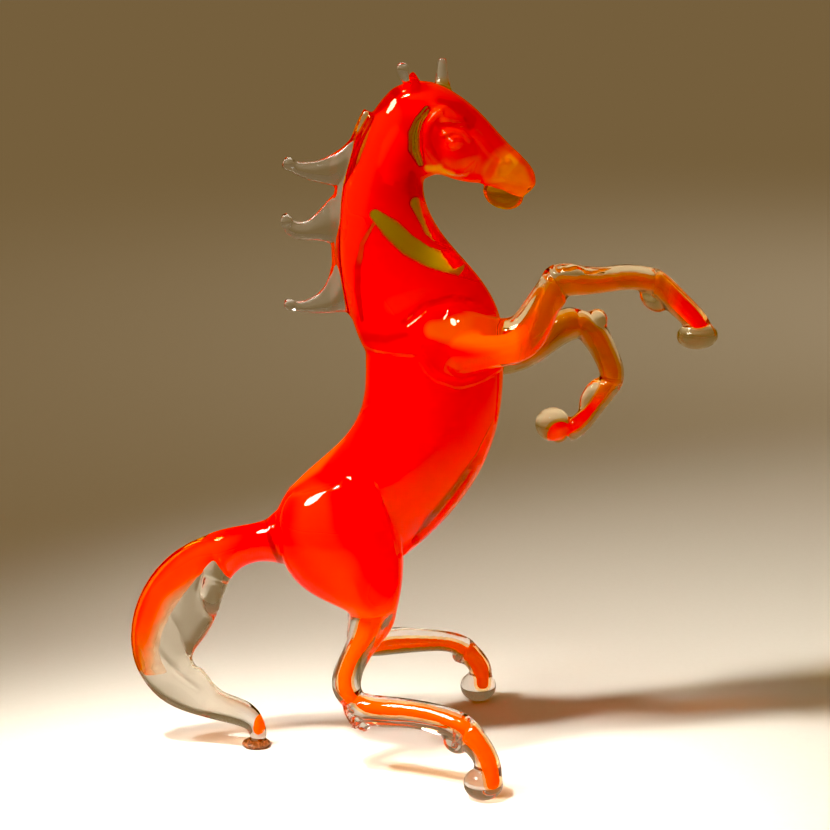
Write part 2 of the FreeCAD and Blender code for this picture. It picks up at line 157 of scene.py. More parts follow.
def joined(name, parts):
    """One object made of the parts' shells, left loose."""
    places, faces, start = [], [], 0
    for part in parts:
        places.append(places_of(part.data))
        faces.append(triangles_of(part.data) + start)
        start += len(part.data.vertices)
    return mesh_object(name, np.concatenate(places), np.concatenate(faces))


def remeshed(thing, voxel_mm):
    """Fuses the object's shells into one even surface."""
    remesh = thing.modifiers.new("fuse", "REMESH")
    remesh.mode = "VOXEL"
    remesh.voxel_size = voxel_mm * MM
    return applied(thing)


def flowed(thing, steps, share=None):
    """Lets each vertex flow towards its neighbours' mean, by its share (0 to 1) if one is given."""
    flow = thing.modifiers.new("flow", "SMOOTH")
    flow.factor = 0.5
    flow.iterations = steps
    if share is not None:
        group = thing.vertex_groups.new(name="flow")
        levels = np.round(share * 10).astype(int)
        for level in np.unique(levels):
            group.add(np.nonzero(levels == level)[0].tolist(), level / 10, "REPLACE")
        flow.vertex_group = "flow"
    applied(thing)
    thing.vertex_groups.clear()
    return thing


def colours_of(layer):
    """A colour layer as an N x 4 array."""
    colours = np.empty(len(layer.data) * 4, np.float32)
    layer.data.foreach_get("color", colours)
    return colours.reshape(-1, 4)


def paint(mesh, name, colours):
    """Adds a colour for each vertex."""
    layer = mesh.color_attributes.new(name, "FLOAT_COLOR", "POINT")
    layer.data.foreach_set("color", colours.astype(np.float32).ravel())


def nearest_node(points, names, reach=1.2 * MM):
    """For each point, the index in names of the CAD node whose surface is nearest."""
    best = np.full(len(points), np.inf)
    owner = np.zeros(len(points), int)
    for index, name in enumerate(names):
        mesh = nodes[name].data
        places = places_of(mesh)
        inside = np.all((points > places.min(0) - reach) & (points < places.max(0) + reach), axis=1)
        tree = BVHTree.FromPolygons(places.tolist(), triangles_of(mesh).tolist())
        for at in np.nonzero(inside)[0]:
            gap = tree.find_nearest(points[at])[3]
            if gap < best[at]:
                best[at] = gap
                owner[at] = index
    return owner


def split(thing, names, material):
    """Divides a fused surface into one piece for each CAD node in names.

    Every piece keeps the whole surface's colours and normals, so no seam shows between two pieces.
    """
    mesh = thing.data
    places, normals = places_of(mesh), normals_of(mesh)
    faces = quads_of(mesh)
    layers = {layer.name: colours_of(layer) for layer in mesh.attributes if layer.data_type == "FLOAT_COLOR"}
    owner = nearest_node(places[faces].mean(1), names)
    for index, name in enumerate(names):
        mine = faces[owner == index]
        if not len(mine):
            print("no faces left for", name)
            continue
        used, local = np.unique(mine, return_inverse=True)
        piece = mesh_object(name.replace("_casing", "") + "_glass", places[used], local.reshape(-1, 4))
        piece.data.shade_smooth()
        for layer, colours in layers.items():
            paint(piece.data, layer, colours[used])
        piece.data.normals_split_custom_set_from_vertices(normals[used].tolist())
        piece.data.materials.append(material)
        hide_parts(name)
        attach(piece, "root")
    bpy.data.objects.remove(thing)


# ---------------------------------------------------------------- colours
# Linear colours. A hue is what the coloured glass scatters, and a veil is what it lets through.

RED = (1.0, 0.006, 0.0)
WARM_RED = (1.0, 0.035, 0.001)
ORANGE = (1.0, 0.13, 0.005)
DARK_RED = (0.36, 0.003, 0.0)
DEEP_RED = (0.68, 0.004, 0.0)
LEG_ORANGE = (1.0, 0.20, 0.012)
MUZZLE_ORANGE = (1.0, 0.42, 0.02)
TAIL_RED = (1.0, 0.085, 0.012)
HEAD_RED = (1.0, 0.05, 0.002)
# painted light: the yellow of the caustic that the glass focuses under the jaw
CAUSTIC_YELLOW = (1.0, 0.62, 0.0)
# painted light: the cream of lamp light shining through the clear tail plume
LAMPLIT_CREAM = (1.0, 0.80, 0.52)
CHERRY_VEIL = (0.85, 0.10, 0.03)
OLIVE_VEIL = (0.95, 0.95, 0.14)
AMBER_VEIL = (1.0, 0.74, 0.34)
PALE_VEIL = (1.0, 0.86, 0.6)
SMOKE_VEIL = (0.86, 0.42, 0.34)
# painted light: what the painted lamp light in the tail plume lets through
LAMPLIT_CREAM_VEIL = (1.0, 0.99, 0.96)

# Where the colour differs from the gathers' even red, in streaks: hue, veil, cover (how much of the surface
# is coloured) and a route of (x, z, half width) in the side view. A streak runs through the whole width.
STREAKS = [
    # neck
    (WARM_RED, CHERRY_VEIL, 0.96, [(-11.0, 76, 2.2), (-12.0, 84, 3.4), (-11.0, 92, 3.2), (-9.0, 99, 3.0),
                                   (-4.5, 106.5, 2.8)]),
    # painted light: an orange line along the neck's back edge stands for light shining through the thin edge
    # of the colour
    (ORANGE, AMBER_VEIL, 0.8, [(-11.0, 104.0, 0.5), (-12.6, 98.0, 0.7), (-13.2, 90.0, 0.8),
                               (-12.8, 82.0, 0.8)]),
    (DARK_RED, OLIVE_VEIL, 0.1, [(-7.6, 107.0, 0.6), (-9.4, 103.8, 1.3), (-10.9, 100.4, 1.5),
                                 (-12.0, 96.6, 0.5)]),
    (DARK_RED, CHERRY_VEIL, 0.85, [(-3.4, 111.0, 0.8), (-5.6, 109.4, 1.2), (-7.4, 107.8, 0.8)]),
    (DEEP_RED, CHERRY_VEIL, 0.85, [(-1.0, 97.6, 0.7), (-0.6, 95.4, 1.4), (-0.4, 92.8, 1.2)]),
    (RED, OLIVE_VEIL, 0.0, [(-0.2, 92.8, 1.1), (2.6, 89.0, 1.9), (5.4, 85.8, 1.7), (8.8, 82.0, 1.2)]),
    (RED, OLIVE_VEIL, 0.0, [(-6.9, 90.9, 0.9), (-4.4, 88.6, 1.6), (-1.4, 85.9, 1.8), (2.0, 83.9, 1.7),
                            (9.6, 81.2, 1.2)]),
    (WARM_RED, CHERRY_VEIL, 0.95, [(-2.9, 91.4, 0.9), (-0.6, 88.2, 0.6), (2.0, 86.2, 0.5), (4.7, 85.4, 0.3)]),
    (DEEP_RED, OLIVE_VEIL, 0.65, [(-7.2, 89.4, 0.3), (-9.0, 86.2, 0.5), (-9.7, 82.3, 0.6),
                                  (-9.7, 78.8, 0.5), (-8.9, 73.7, 0.3)]),
    # head
    (WARM_RED, CHERRY_VEIL, 0.95, [(-1.0, 110.5, 1.2), (6.0, 110.0, 1.2), (11.5, 105.4, 1.0)]),
    (DARK_RED, OLIVE_VEIL, 0.12, [(1.4, 108.0, 0.5), (0.2, 106.0, 0.9), (-0.4, 104.0, 1.2),
                                  (-0.4, 101.6, 1.2), (0.3, 99.6, 0.7)]),
    (DEEP_RED, CHERRY_VEIL, 0.9, [(3.4, 109.4, 0.5), (6.4, 108.4, 1.0), (8.4, 106.4, 1.2),
                                  (8.4, 105.2, 0.7)]),
    (WARM_RED, CHERRY_VEIL, 0.95, [(3.0, 105.6, 1.0), (3.4, 101.6, 1.4), (6.6, 100.6, 1.2)]),
    # painted light: a yellow streak under the jaw stands for the caustic that the glass focuses there
    (CAUSTIC_YELLOW, OLIVE_VEIL, 0.9, [(1.5, 98.7, 0.4), (3.3, 98.8, 0.4), (5.7, 98.0, 0.3)]),
    (MUZZLE_ORANGE, AMBER_VEIL, 0.85, [(12.8, 98.0, 2.0), (15.0, 98.2, 3.2), (17.0, 96.6, 2.8)]),
    (ORANGE, AMBER_VEIL, 0.85, [(14.6, 102.2, 0.6), (17.8, 99.4, 0.9), (18.8, 96.8, 0.8)]),
    (ORANGE, AMBER_VEIL, 0.9, [(11.4, 97.6, 0.8), (12.6, 99.8, 0.6)]),
    # shoulder and barrel
    (LEG_ORANGE, CHERRY_VEIL, 1.0, [(2.5, 72.0, 1.4), (8.0, 71.6, 2.4), (14.0, 71.0, 3.0)]),
    (WARM_RED, CHERRY_VEIL, 1.0, [(-4.0, 76.0, 2.0), (2.0, 78.6, 1.4), (8.0, 79.0, 1.0)]),
    (DEEP_RED, CHERRY_VEIL, 0.95, [(-8.4, 71.0, 0.9), (-5.2, 70.5, 0.8), (-2.0, 71.2, 0.5)]),
    (DEEP_RED, CHERRY_VEIL, 0.95, [(-7.8, 62.5, 0.5), (-8.0, 57.0, 1.6), (-9.8, 52.0, 1.2)]),
    (RED, SMOKE_VEIL, 0.05, [(12.6, 57.6, 0.3), (10.4, 50.8, 1.2), (6.6, 44.2, 1.9), (2.4, 39.4, 1.7),
                             (-0.6, 36.6, 0.6)]),
    # rump and thighs
    # painted light: an orange line along the rump's upper left edge stands for light shining through the thin
    # edge of the colour
    (ORANGE, CHERRY_VEIL, 1.0, [(-21.5, 45.0, 0.5), (-17.0, 49.2, 1.1), (-12.5, 53.6, 0.6)]),
    (WARM_RED, CHERRY_VEIL, 1.0, [(-17.0, 44.0, 2.4), (-17.0, 38.0, 3.4), (-12.0, 31.0, 3.0),
                                  (-8.0, 27.0, 2.0)]),
    (DARK_RED, CHERRY_VEIL, 0.9, [(-22.9, 33.6, 0.4), (-20.2, 29.6, 0.5), (-15.0, 26.4, 0.4)]),
    (DARK_RED, CHERRY_VEIL, 0.95, [(-25.4, 40.0, 0.4), (-24.6, 36.4, 0.5), (-22.6, 31.6, 0.4)]),
    # tail
    (ORANGE, AMBER_VEIL, 0.7, [(-36.4, 27.6, 3.6), (-39.8, 24.8, 4.0), (-41.6, 21.0, 3.8),
                               (-42.6, 16.5, 3.8), (-42.6, 12.0, 3.8)]),
    # painted light: a pale cream scatter in the middle of the plume stands for the lamp light shining through
    # the clear tail
    (LAMPLIT_CREAM, LAMPLIT_CREAM_VEIL, 0.3, [(-36.0, 26.4, 3.2), (-39.2, 23.4, 3.6), (-41.0, 20.5, 3.2),
                              (-42.2, 16.5, 3.2), (-42.4, 12.0, 3.2)]),
    # painted shade: a dark line along the top of the near hind cannon stands for the darker upper edge that
    # the rod's refraction shows
    (DARK_RED, CHERRY_VEIL, 0.8, [(-6.5, 12.7, 0.4), (-3.4, 13.0, 0.5), (1.6, 12.8, 0.5), (5.2, 12.0, 0.4)]),
]
# A broad clear patch on the left side of the neck, so that the windows on the right side look right through.
FAR_WINDOW = [(-5.5, 91.5, 3.6), (-4.0, 87.0, 5.4), (1.0, 83.5, 5.4), (6.0, 81.5, 4.2), (9.0, 80.5, 2.6)]
# The clear edge of the tail plume that glows orange, as a route.
TAIL_RIM = [(-27.0, 39.4, 0.5), (-35.6, 37.1, 1.0), (-40.8, 34.4, 1.2), (-45.8, 29.0, 1.2),
            (-48.6, 20.3, 1.0), (-47.4, 14, 0.6)]
LEAN = 0.2              # how far a streak drops for each step across the horse, from right to left (ratio)
WINDOW_COVER = 0.2      # a streak with less cover than this is a clear window
WINDOW_GROWTH = 2.5     # how much wider a clear window is on the left side than on the right


def smooth_step(values, start, end):
    """0 up to start and 1 from end on, with an even rise or fall between. start may be above end."""
    share = np.clip((values - start) / (end - start), 0, 1)
    return share * share * (3 - 2 * share)


def nearness(places, route, wide=1):
    """How far inside a streak each place lies in the side view: 1 on its route, 0 beyond its soft edge.

    wide makes the streak that many times wider, for each place.
    """
    best = np.full(len(places), np.inf)
    for (x0, z0, wide0), (x1, z1, wide1) in zip(route, route[1:]):
        run = np.array((x1 - x0, z1 - z0))
        offset = places[:, [0, 2]] - (x0, z0)
        along = np.clip(offset @ run / (run @ run), 0, 1)
        gap = np.linalg.norm(offset - along[:, None] * run, axis=1) / (wide0 + along * (wide1 - wide0))
        best = np.minimum(best, gap)
    return 1 - smooth_step(best / wide, 0.55, 1.45)


class Coat:
    """The hue and veil of each vertex of the coloured glass. The veil's fourth value is its cover."""

    def __init__(self, count):
        self.hue = np.tile((*RED, 1.0), (count, 1))
        self.veil = np.tile((*CHERRY_VEIL, 1.0), (count, 1))

    def lay(self, share, hue=None, veil=None, cover=None):
        """Blends each vertex towards the given colours, by its share."""
        share = share[:, None]
        if hue is not None:
            self.hue[:, :3] += share * (np.array(hue) - self.hue[:, :3])
        if veil is not None:
            self.veil[:, :3] += share * (np.array(veil) - self.veil[:, :3])
        if cover is not None:
            self.veil[:, 3:] += share * (cover - self.veil[:, 3:])

    def put_on(self, mesh):
        paint(mesh, "hue", self.hue)
        paint(mesh, "veil", self.veil)


def coat_core(places, halo):
    """The coat of the coloured glass at places in millimetres.

    halo is 1 on the thin outer layer of a leg's colour.
    """
    coat = Coat(len(places))
    x, y, z = places.T
    hind = smooth_step(z, 31, 24) * smooth_step(x, -26, -22)
    coat.lay(hind, LEG_ORANGE, AMBER_VEIL, 0.72)
    fore = smooth_step(x, 11, 20) * smooth_step(z, 90, 86) * smooth_step(np.abs(y), 4.5, 7)
    coat.lay(fore, LEG_ORANGE, AMBER_VEIL, 0.2)
    right_end = smooth_step(x, 39, 43) * smooth_step(y, 0, -4)
    left_end = smooth_step(z, 60, 57) * smooth_step(x, 20, 24)
    coat.lay(right_end + left_end, WARM_RED, AMBER_VEIL, 1.0)
    tail = smooth_step(x, -27, -38)
    coat.lay(tail, TAIL_RED, AMBER_VEIL, 1.0)
    head = smooth_step(z, 96, 99) * smooth_step(x, 0, 3)
    coat.lay(head, HEAD_RED)
    plume_end = tail * smooth_step(z, 26, 13)
    coat.lay(plume_end, ORANGE, AMBER_VEIL, 0.1)
    tail_hook = smooth_step(z, 9, 7.5) * smooth_step(x, -24, -26)
    coat.lay(tail_hook, LEG_ORANGE, AMBER_VEIL, 0.8)
    leaning = places + np.outer(np.where(y < 0, y, 0.3 * y), (0, 0, LEAN))
    wide = 1 + WINDOW_GROWTH * smooth_step(y, 0, 3)
    for hue, veil, cover, route in STREAKS:
        is_window = cover < WINDOW_COVER
        coat.lay(nearness(leaning, route, wide if is_window else 1), hue, veil, cover)
    far = nearness(places, FAR_WINDOW) * smooth_step(y, 0.5, 2)
    coat.lay(far, RED, OLIVE_VEIL, 0.1)
    coat.lay(halo * hind, LEG_ORANGE, PALE_VEIL, 0.2)
    coat.lay(halo * fore, LEG_ORANGE, PALE_VEIL, 0.25)
    return coat


def tint_skin(places):
    """The faint colour of the outer glass at places in millimetres.

    It is amber over the body, forelegs and chin, straw on the tail and orange on the tail's rim. The mane,
    the ears and the lower hind legs stay clear.
    """
    x, z = places[:, 0], places[:, 2]
    fore = smooth_step(x, 13, 17) * smooth_step(z, 90, 86)
    before_mane = smooth_step(x - 0.008 * (z - 86) ** 2, -13.0, -11.6)
    below_ears = smooth_step(z, 113.5, 112)
    body = smooth_step(z, 24, 32) * smooth_step(x, -34, -27) * (1 - fore) * before_mane * below_ears
    chin = smooth_step(x, 9, 11) * smooth_step(z, 97.5, 96) * smooth_step(z, 90, 92)
    tail = smooth_step(x, -28, -32)
    tints = [
        (body, (1.0, 0.88, 0.6)),
        (fore, (1.0, 0.93, 0.78)),
        (chin, (1.0, 0.8, 0.45)),
        (tail, (0.99, 0.97, 0.92)),
        (nearness(places, TAIL_RIM), (1.0, 0.48, 0.14)),
    ]
    tint = np.ones((len(places), 4))
    for share, colour in tints:
        tint[:, :3] += share[:, None] * (np.array(colour) - 1)
    return tint


# How far a tool pushed the soft glass out (+) or in (-), in millimetres, which side of the horse it worked on
# (-1 right, 1 left, 0 both), and a route as in STREAKS.
TOOLING = [
    # cheek disc and the hollow behind it
    (0.55, 0, [(3.3, 108.4, 0.5), (1.8, 106.7, 0.6), (1.1, 104.8, 0.6), (1.5, 102.8, 0.6),
               (2.7, 100.8, 0.5), (3.6, 99.6, 0.4)]),
    (-0.6, 0, [(1.8, 108.6, 0.5), (0.3, 106.6, 0.7), (-0.3, 104.4, 0.8), (-0.3, 102.1, 0.8),
               (0.6, 99.8, 0.6)]),
    # brow, eyelid, cheekbone, nostril and mouth
    (0.7, 0, [(4.2, 108.2, 1.0), (5.2, 107.3, 0.9), (6.6, 107.0, 0.7)]),
    (0.45, 0, [(5.5, 103.3, 0.7), (6.3, 103.6, 0.7)]),
    (-0.45, 0, [(3.6, 106.2, 0.4), (5.4, 106.4, 0.4), (7.4, 106.0, 0.4), (8.6, 104.6, 0.4)]),
    (0.5, 0, [(3.9, 104.7, 0.3), (5.4, 105.4, 0.35), (7.1, 105.1, 0.35), (8.3, 103.9, 0.3)]),
    (0.35, 0, [(9.3, 104.6, 0.7), (11.3, 102.4, 0.7), (13.1, 100.4, 0.6)]),
    (-0.4, 0, [(13.5, 99.3, 0.5), (14.3, 98.9, 0.5)]),
    (0.3, 0, [(12.6, 98.3, 0.4), (13.2, 100.1, 0.4), (14.6, 100.2, 0.4)]),
    (-0.4, 0, [(11.2, 96.9, 0.4), (13.4, 97.1, 0.4), (15.6, 96.4, 0.4), (17.9, 95.9, 0.4)]),
    # the ring where each forearm is pressed on, and folds on the chest
    (0.35, -1, [(-0.2, 70.1, 0.5), (1.2, 67.6, 0.6), (3.3, 65.8, 0.6), (6.9, 64.7, 0.6), (10.4, 65.4, 0.5),
                (13.3, 66.5, 0.4)]),
    (0.35, 1, [(2.0, 66.6, 0.5), (4.6, 63.6, 0.6), (9.0, 62.6, 0.5)]),
    (-0.3, 0, [(-2.0, 74.6, 0.5), (1.4, 77.4, 0.6), (5.6, 78.4, 0.6), (9.6, 77.2, 0.5)]),
    (0.2, 0, [(6.8, 78.9, 0.3), (8.3, 77.4, 0.3), (10.4, 76.3, 0.3), (12.5, 75.2, 0.3)]),
    # seams: chest, thigh, dock
    (-0.25, 0, [(-8.6, 69.4, 0.4), (-4.0, 69.0, 0.4), (0.0, 69.2, 0.3)]),
    (-0.3, 0, [(-8.6, 49.8, 0.4), (-6.0, 46.0, 0.4), (-4.3, 41.0, 0.4), (-3.0, 36.0, 0.4)]),
    (-0.35, 0, [(-24.2, 41.0, 0.4), (-24.0, 37.0, 0.4), (-22.6, 33.0, 0.4), (-19.6, 29.0, 0.4),
                (-14.6, 26.4, 0.4)]),
    # creases across the legs where each rod was fused on or bent
    (-0.35, -1, [(20.0, 84.4, 0.4), (22.4, 81.4, 0.4), (24.2, 78.8, 0.4)]),
    (-0.3, -1, [(38.4, 84.4, 0.35), (37.4, 79.2, 0.35)]),
    (-0.4, -1, [(-12.6, 11.4, 0.4), (-8.6, 14.4, 0.4)]),
    (-0.4, -1, [(6.2, 7.8, 0.35), (7.4, 10.6, 0.35), (8.9, 13.4, 0.35)]),
    (-0.3, 1, [(26.6, 74.6, 0.35), (27.4, 68.6, 0.35)]),
    (-0.35, 1, [(35.0, 60.6, 0.35), (30.6, 62.4, 0.35)]),
    (-0.35, 1, [(-11.0, 11.6, 0.35), (-7.2, 15.6, 0.35)]),
    (-0.4, 1, [(7.4, 7.8, 0.35), (9.9, 12.2, 0.35)]),
    # folds along the tail plume
    (-0.3, 0, [(-45.2, 19.2, 0.3), (-43.0, 15.4, 0.6), (-40.3, 12.5, 0.6), (-37.2, 10.1, 0.3)]),
    (-0.25, 0, [(-43.0, 25.0, 0.3), (-40.6, 21.1, 0.5), (-38.9, 16.3, 0.3)]),
    (0.3, 0, [(-34.4, 29.0, 0.6), (-34.6, 26.6, 1.1), (-34.2, 24.8, 0.6)]),
    (-0.35, 0, [(-36.0, 31.0, 0.4), (-37.0, 27.6, 0.6), (-36.0, 24.4, 0.5), (-34.4, 22.8, 0.3)]),
]


def pulled(places):
    """Places after the tail is pressed flat, the forelock is pulled up and the right hock is chipped."""
    x, y, z = (places / MM).T
    moved = places.copy()
    moved[:, 1] *= 1 - FLAT_TAIL * smooth_step(x, -33, -38)
    from_lock = np.hypot(x - LOCK[0] - LOCK_LEAN * (z - LOCK[2]), y - LOCK[1])
    lifted = (1 - smooth_step(from_lock, 0, LOCK_REACH)) * smooth_step(z, LOCK[2] - 1.2, LOCK[2])
    moved[:, 2] += LOCK_RISE * MM * lifted
    chipped = 1 - smooth_step(np.linalg.norm(places / MM - SPUR, axis=1), *SPUR_REACH)
    for at in np.nonzero(chipped > 0)[0]:
        chip = np.array(noise.noise_vector(Vector(places[at]) * CHIP_SCALE))
        moved[at] += CHIP_HEIGHT * MM * chipped[at] * chip
    return moved


def tooled(mesh, share=1.0):
    """Pushes the sides of the surface out and in along the routes of TOOLING."""
    places, normals = places_of(mesh), normals_of(mesh)
    sideways = smooth_step(np.abs(normals[:, 1]), 0.05, 0.45)
    rise = np.zeros(len(places))
    for height, side, route in TOOLING:
        worked = places[:, 1] * side >= 0
        rise += height * nearness(places / MM, route) * worked
    set_places(mesh, places + (share * MM * rise * sideways)[:, None] * normals)


def haloed(core):
    """Gives the colour in the legs a thin outer layer round a denser middle, and coats the whole core."""
    faces = quads_of(core.data)
    places, normals = places_of(core.data), normals_of(core.data)
    x, z = places[:, 0] / MM, places[:, 2] / MM
    legs = np.maximum(smooth_step(z, 30, 24), smooth_step(x, 13, 18) * smooth_step(z, 90, 86)) * (x > -26)
    middle = faces[(legs[faces] > 0.5).all(1)]
    used, local = np.unique(middle, return_inverse=True)
    outer = places + (HALO_DEPTH * MM * legs)[:, None] * normals
    inner = places[used] + MIDDLE_DEPTH * MM * normals[used]
    inner_faces = local.reshape(-1, 4) + len(places)
    made = mesh_object(core.name, np.concatenate((outer, inner)), np.concatenate((faces, inner_faces)))
    halo = np.concatenate((smooth_step(legs, 0.4, 0.9), np.zeros(len(used))))
    coat_core(places_of(made.data) / MM, halo).put_on(made.data)
    bpy.data.objects.remove(core)
    return made


def coloured_drop(middle, radius, tallness=1.0):
    """A round bit of coloured glass at a place in millimetres, tallness times as high as it is wide."""
    bpy.ops.mesh.primitive_uv_sphere_add(radius=radius * MM, location=Vector(middle) * MM)
    made = bpy.context.object
    made.scale.z = tallness
    bpy.ops.object.transform_apply()
    return made


def bubbles(name, route, count, seed, surface, glass):
    """Tiny gas bubbles just under the surface, along a route in the side view, on both sides of the horse."""
    chance = np.random.default_rng(seed)
    places, faces = [], []
    bpy.ops.mesh.primitive_ico_sphere_add(subdivisions=2, radius=1.0)
    ball = bpy.context.object
    ball_places, ball_faces = places_of(ball.data), triangles_of(ball.data)
    bpy.data.objects.remove(ball)
    for number in range(count):
        step = chance.random() * (len(route) - 1)
        start, end = np.array(route[int(step)]), np.array(route[int(step) + 1])
        x, z = start + (step % 1) * (end - start) + chance.normal(0, BUBBLE_SCATTER, 2)
        side = (-1, 1)[number % 2]
        place, normal = surface.ray_cast(Vector((x, 40 * side, z)) * MM, Vector((0, -side, 0)))[:2]
        if place is None:
            continue
        middle = np.array(place - normal * BUBBLE_DEPTH * MM)
        faces.append(ball_faces + len(ball_places) * len(places))
        places.append(middle + ball_places * MM * chance.uniform(*BUBBLE_RADII))
    made = mesh_object(name, np.concatenate(places), np.concatenate(faces))
    made.data.shade_smooth()
    made.data.materials.append(glass)
    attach(made, "root")


# ---------------------------------------------------------------- materials

GLASS_INDEX = 1.5
BUBBLE_INDEX = 0.667        # gas seen from inside the glass
CORE_GLOW = 0.22            # stands for the light that bounces about inside the coloured glass
SHADOW_LEAK = 0.18          # how much less the coloured glass covers for a lamp's light

def shader(name):
    """A new material's node tree, with only its output."""
    material = bpy.data.materials.new(name)
    material.use_nodes = True
    tree = material.node_tree
    tree.nodes.clear()
    tree.nodes.new("ShaderNodeOutputMaterial")
    return material, tree


def add(tree, kind, inputs=None, **settings):
    """A node with its settings, and its inputs given as plain values or as sockets to link."""
    node = tree.nodes.new("ShaderNode" + kind)
    for key, value in settings.items():
        setattr(node, key, value)
    for key, value in (inputs or {}).items():
        if isinstance(value, bpy.types.NodeSocket):
            tree.links.new(value, node.inputs[key])
        else:
            node.inputs[key].default_value = value
    return node


def math_node(tree, operation, *values, **settings):
    return add(tree, "Math", dict(enumerate(values)), operation=operation, **settings).outputs[0]


def finish_shader(tree, surface):
    tree.links.new(surface, tree.nodes["Material Output"].inputs["Surface"])


def clear_for_lamps(tree, surface, colour):
    """Lets lamps and scattered light pass a clear surface straight, so that they reach what is inside it."""
    clear = add(tree, "BsdfTransparent", {"Color": colour})
    path = add(tree, "LightPath")
    passes = math_node(tree, "MAXIMUM", path.outputs["Is Shadow Ray"], path.outputs["Is Diffuse Ray"])
    return add(tree, "MixShader", {0: passes, 1: surface, 2: clear.outputs[0]}).outputs[0]


def skin_glass():
    """Clear, fire-polished glass with the slow waviness that a torch leaves."""
    material, tree = shader("clear_glass")
    tint = add(tree, "Attribute", attribute_name="tint").outputs["Color"]
    where = add(tree, "TexCoord").outputs["Object"]
    waves = add(tree, "TexNoise", {"Vector": where, "Scale": 260.0, "Detail": 1.5, "Roughness": 0.4})
    bump = add(tree, "Bump", {"Height": waves.outputs["Fac"], "Strength": 0.2, "Distance": 0.00012})
    glass = add(tree, "BsdfGlass", {"Color": tint, "Roughness": 0.0, "IOR": GLASS_INDEX,
                                   "Normal": bump.outputs["Normal"]})
    facing = add(tree, "LayerWeight", {"Blend": 0.5}).outputs["Facing"]
    bent_away = math_node(tree, "POWER", facing, 1.6)
    passed = add(tree, "MixRGB", {0: bent_away, 1: (0.82, 0.73, 0.65, 1), 2: (0.3, 0.2, 0.15, 1)})
    finish_shader(tree, clear_for_lamps(tree, glass.outputs[0], passed.outputs[0]))
    return material


def core_glass():
    """Streaky red-orange glass that both scatters light and lets it through, as its vertex colours say."""
    material, tree = shader("coloured_core")
    hue = add(tree, "Attribute", attribute_name="hue").outputs["Color"]
    veil = add(tree, "Attribute", attribute_name="veil")
    where = add(tree, "TexCoord").outputs["Object"]
    streaks = add(tree, "TexNoise", {"Vector": where, "Scale": 170.0, "Detail": 3.0, "Distortion": 1.4})
    warm = add(tree, "MixRGB", {0: math_node(tree, "MULTIPLY", streaks.outputs["Fac"], 0.35), 1: hue,
                                2: (1.0, 0.03, 0.0, 1)})
    front = add(tree, "BsdfDiffuse", {"Color": warm.outputs[0]})
    through = add(tree, "BsdfTranslucent", {"Color": warm.outputs[0]})
    body = add(tree, "MixShader", {0: 0.35, 1: front.outputs[0], 2: through.outputs[0]})
    glow = add(tree, "Emission", {"Color": warm.outputs[0], "Strength": CORE_GLOW})
    lit_body = add(tree, "AddShader", {0: body.outputs[0], 1: glow.outputs[0]})
    grazed = math_node(tree, "POWER", add(tree, "LayerWeight", {"Blend": 0.5}).outputs["Facing"], 3.0)
    thinned = add(tree, "MixRGB", {0: grazed, 1: veil.outputs["Color"], 2: (1, 1, 1, 1)})
    clear = add(tree, "BsdfTransparent", {"Color": thinned.outputs[0]})
    spread = math_node(tree, "MULTIPLY_ADD", veil.outputs["Alpha"], 1.5, -0.5)
    cover = math_node(tree, "MULTIPLY_ADD", streaks.outputs["Fac"], 0.5, spread, use_clamp=True)
    leak = math_node(tree, "MULTIPLY", add(tree, "LightPath").outputs["Is Shadow Ray"], SHADOW_LEAK)
    solid = math_node(tree, "SUBTRACT", cover, leak, use_clamp=True)
    mixed = add(tree, "MixShader", {0: solid, 1: clear.outputs[0], 2: lit_body.outputs[0]})
    finish_shader(tree, mixed.outputs[0])
    return material


def brown_glass():
    """The small brown bead that the tail stands on: dark glass with paler swirls and a wet gloss."""
    material, tree = shader("brown_glass")
    where = add(tree, "TexCoord").outputs["Object"]
    swirls = add(tree, "TexNoise", {"Vector": where, "Scale": 900.0, "Detail": 3.0, "Distortion": 2.0})
    ramp = add(tree, "ValToRGB", {"Fac": swirls.outputs["Fac"]})
    ramp.color_ramp.elements[0].position = 0.35
    ramp.color_ramp.elements[0].color = (0.09, 0.018, 0.006, 1)
    ramp.color_ramp.elements[1].position = 0.7
    ramp.color_ramp.elements[1].color = (0.55, 0.20, 0.09, 1)
    bump = add(tree, "Bump", {"Height": swirls.outputs["Fac"], "Strength": 0.3, "Distance": 0.0002})
    glass = add(tree, "BsdfPrincipled", {"Base Color": ramp.outputs["Color"], "Roughness": 0.05,
                                         "IOR": GLASS_INDEX,
                                         "Transmission Weight": 0.35, "Normal": bump.outputs["Normal"]})
    finish_shader(tree, glass.outputs[0])
    return material


def bubble_glass():
    """The surface of a tiny gas bubble caught in the clear glass."""
    material, tree = shader("bubble")
    where = add(tree, "TexCoord").outputs["Object"]
    haze = add(tree, "TexNoise", {"Vector": where, "Scale": 4000.0})
    rough = math_node(tree, "MULTIPLY", haze.outputs["Fac"], 0.1)
    gas = add(tree, "BsdfGlass", {"Color": (1, 1, 1, 1), "Roughness": rough, "IOR": BUBBLE_INDEX})
    finish_shader(tree, gas.outputs[0])
    return material


def floor_paper():
    """Pale matt paper with a fine fibre grain."""
    material, tree = shader("floor_paper")
    where = add(tree, "TexCoord").outputs["Object"]
    grain = add(tree, "TexNoise", {"Vector": where, "Scale": 900.0, "Detail": 3.0})
    ramp = add(tree, "ValToRGB", {"Fac": grain.outputs["Fac"]})
    ramp.color_ramp.elements[0].color = (0.87, 0.85, 0.80, 1)
    ramp.color_ramp.elements[1].color = (0.90, 0.88, 0.84, 1)
    paper = add(tree, "BsdfDiffuse", {"Color": ramp.outputs["Color"]})
    finish_shader(tree, paper.outputs[0])
    return material


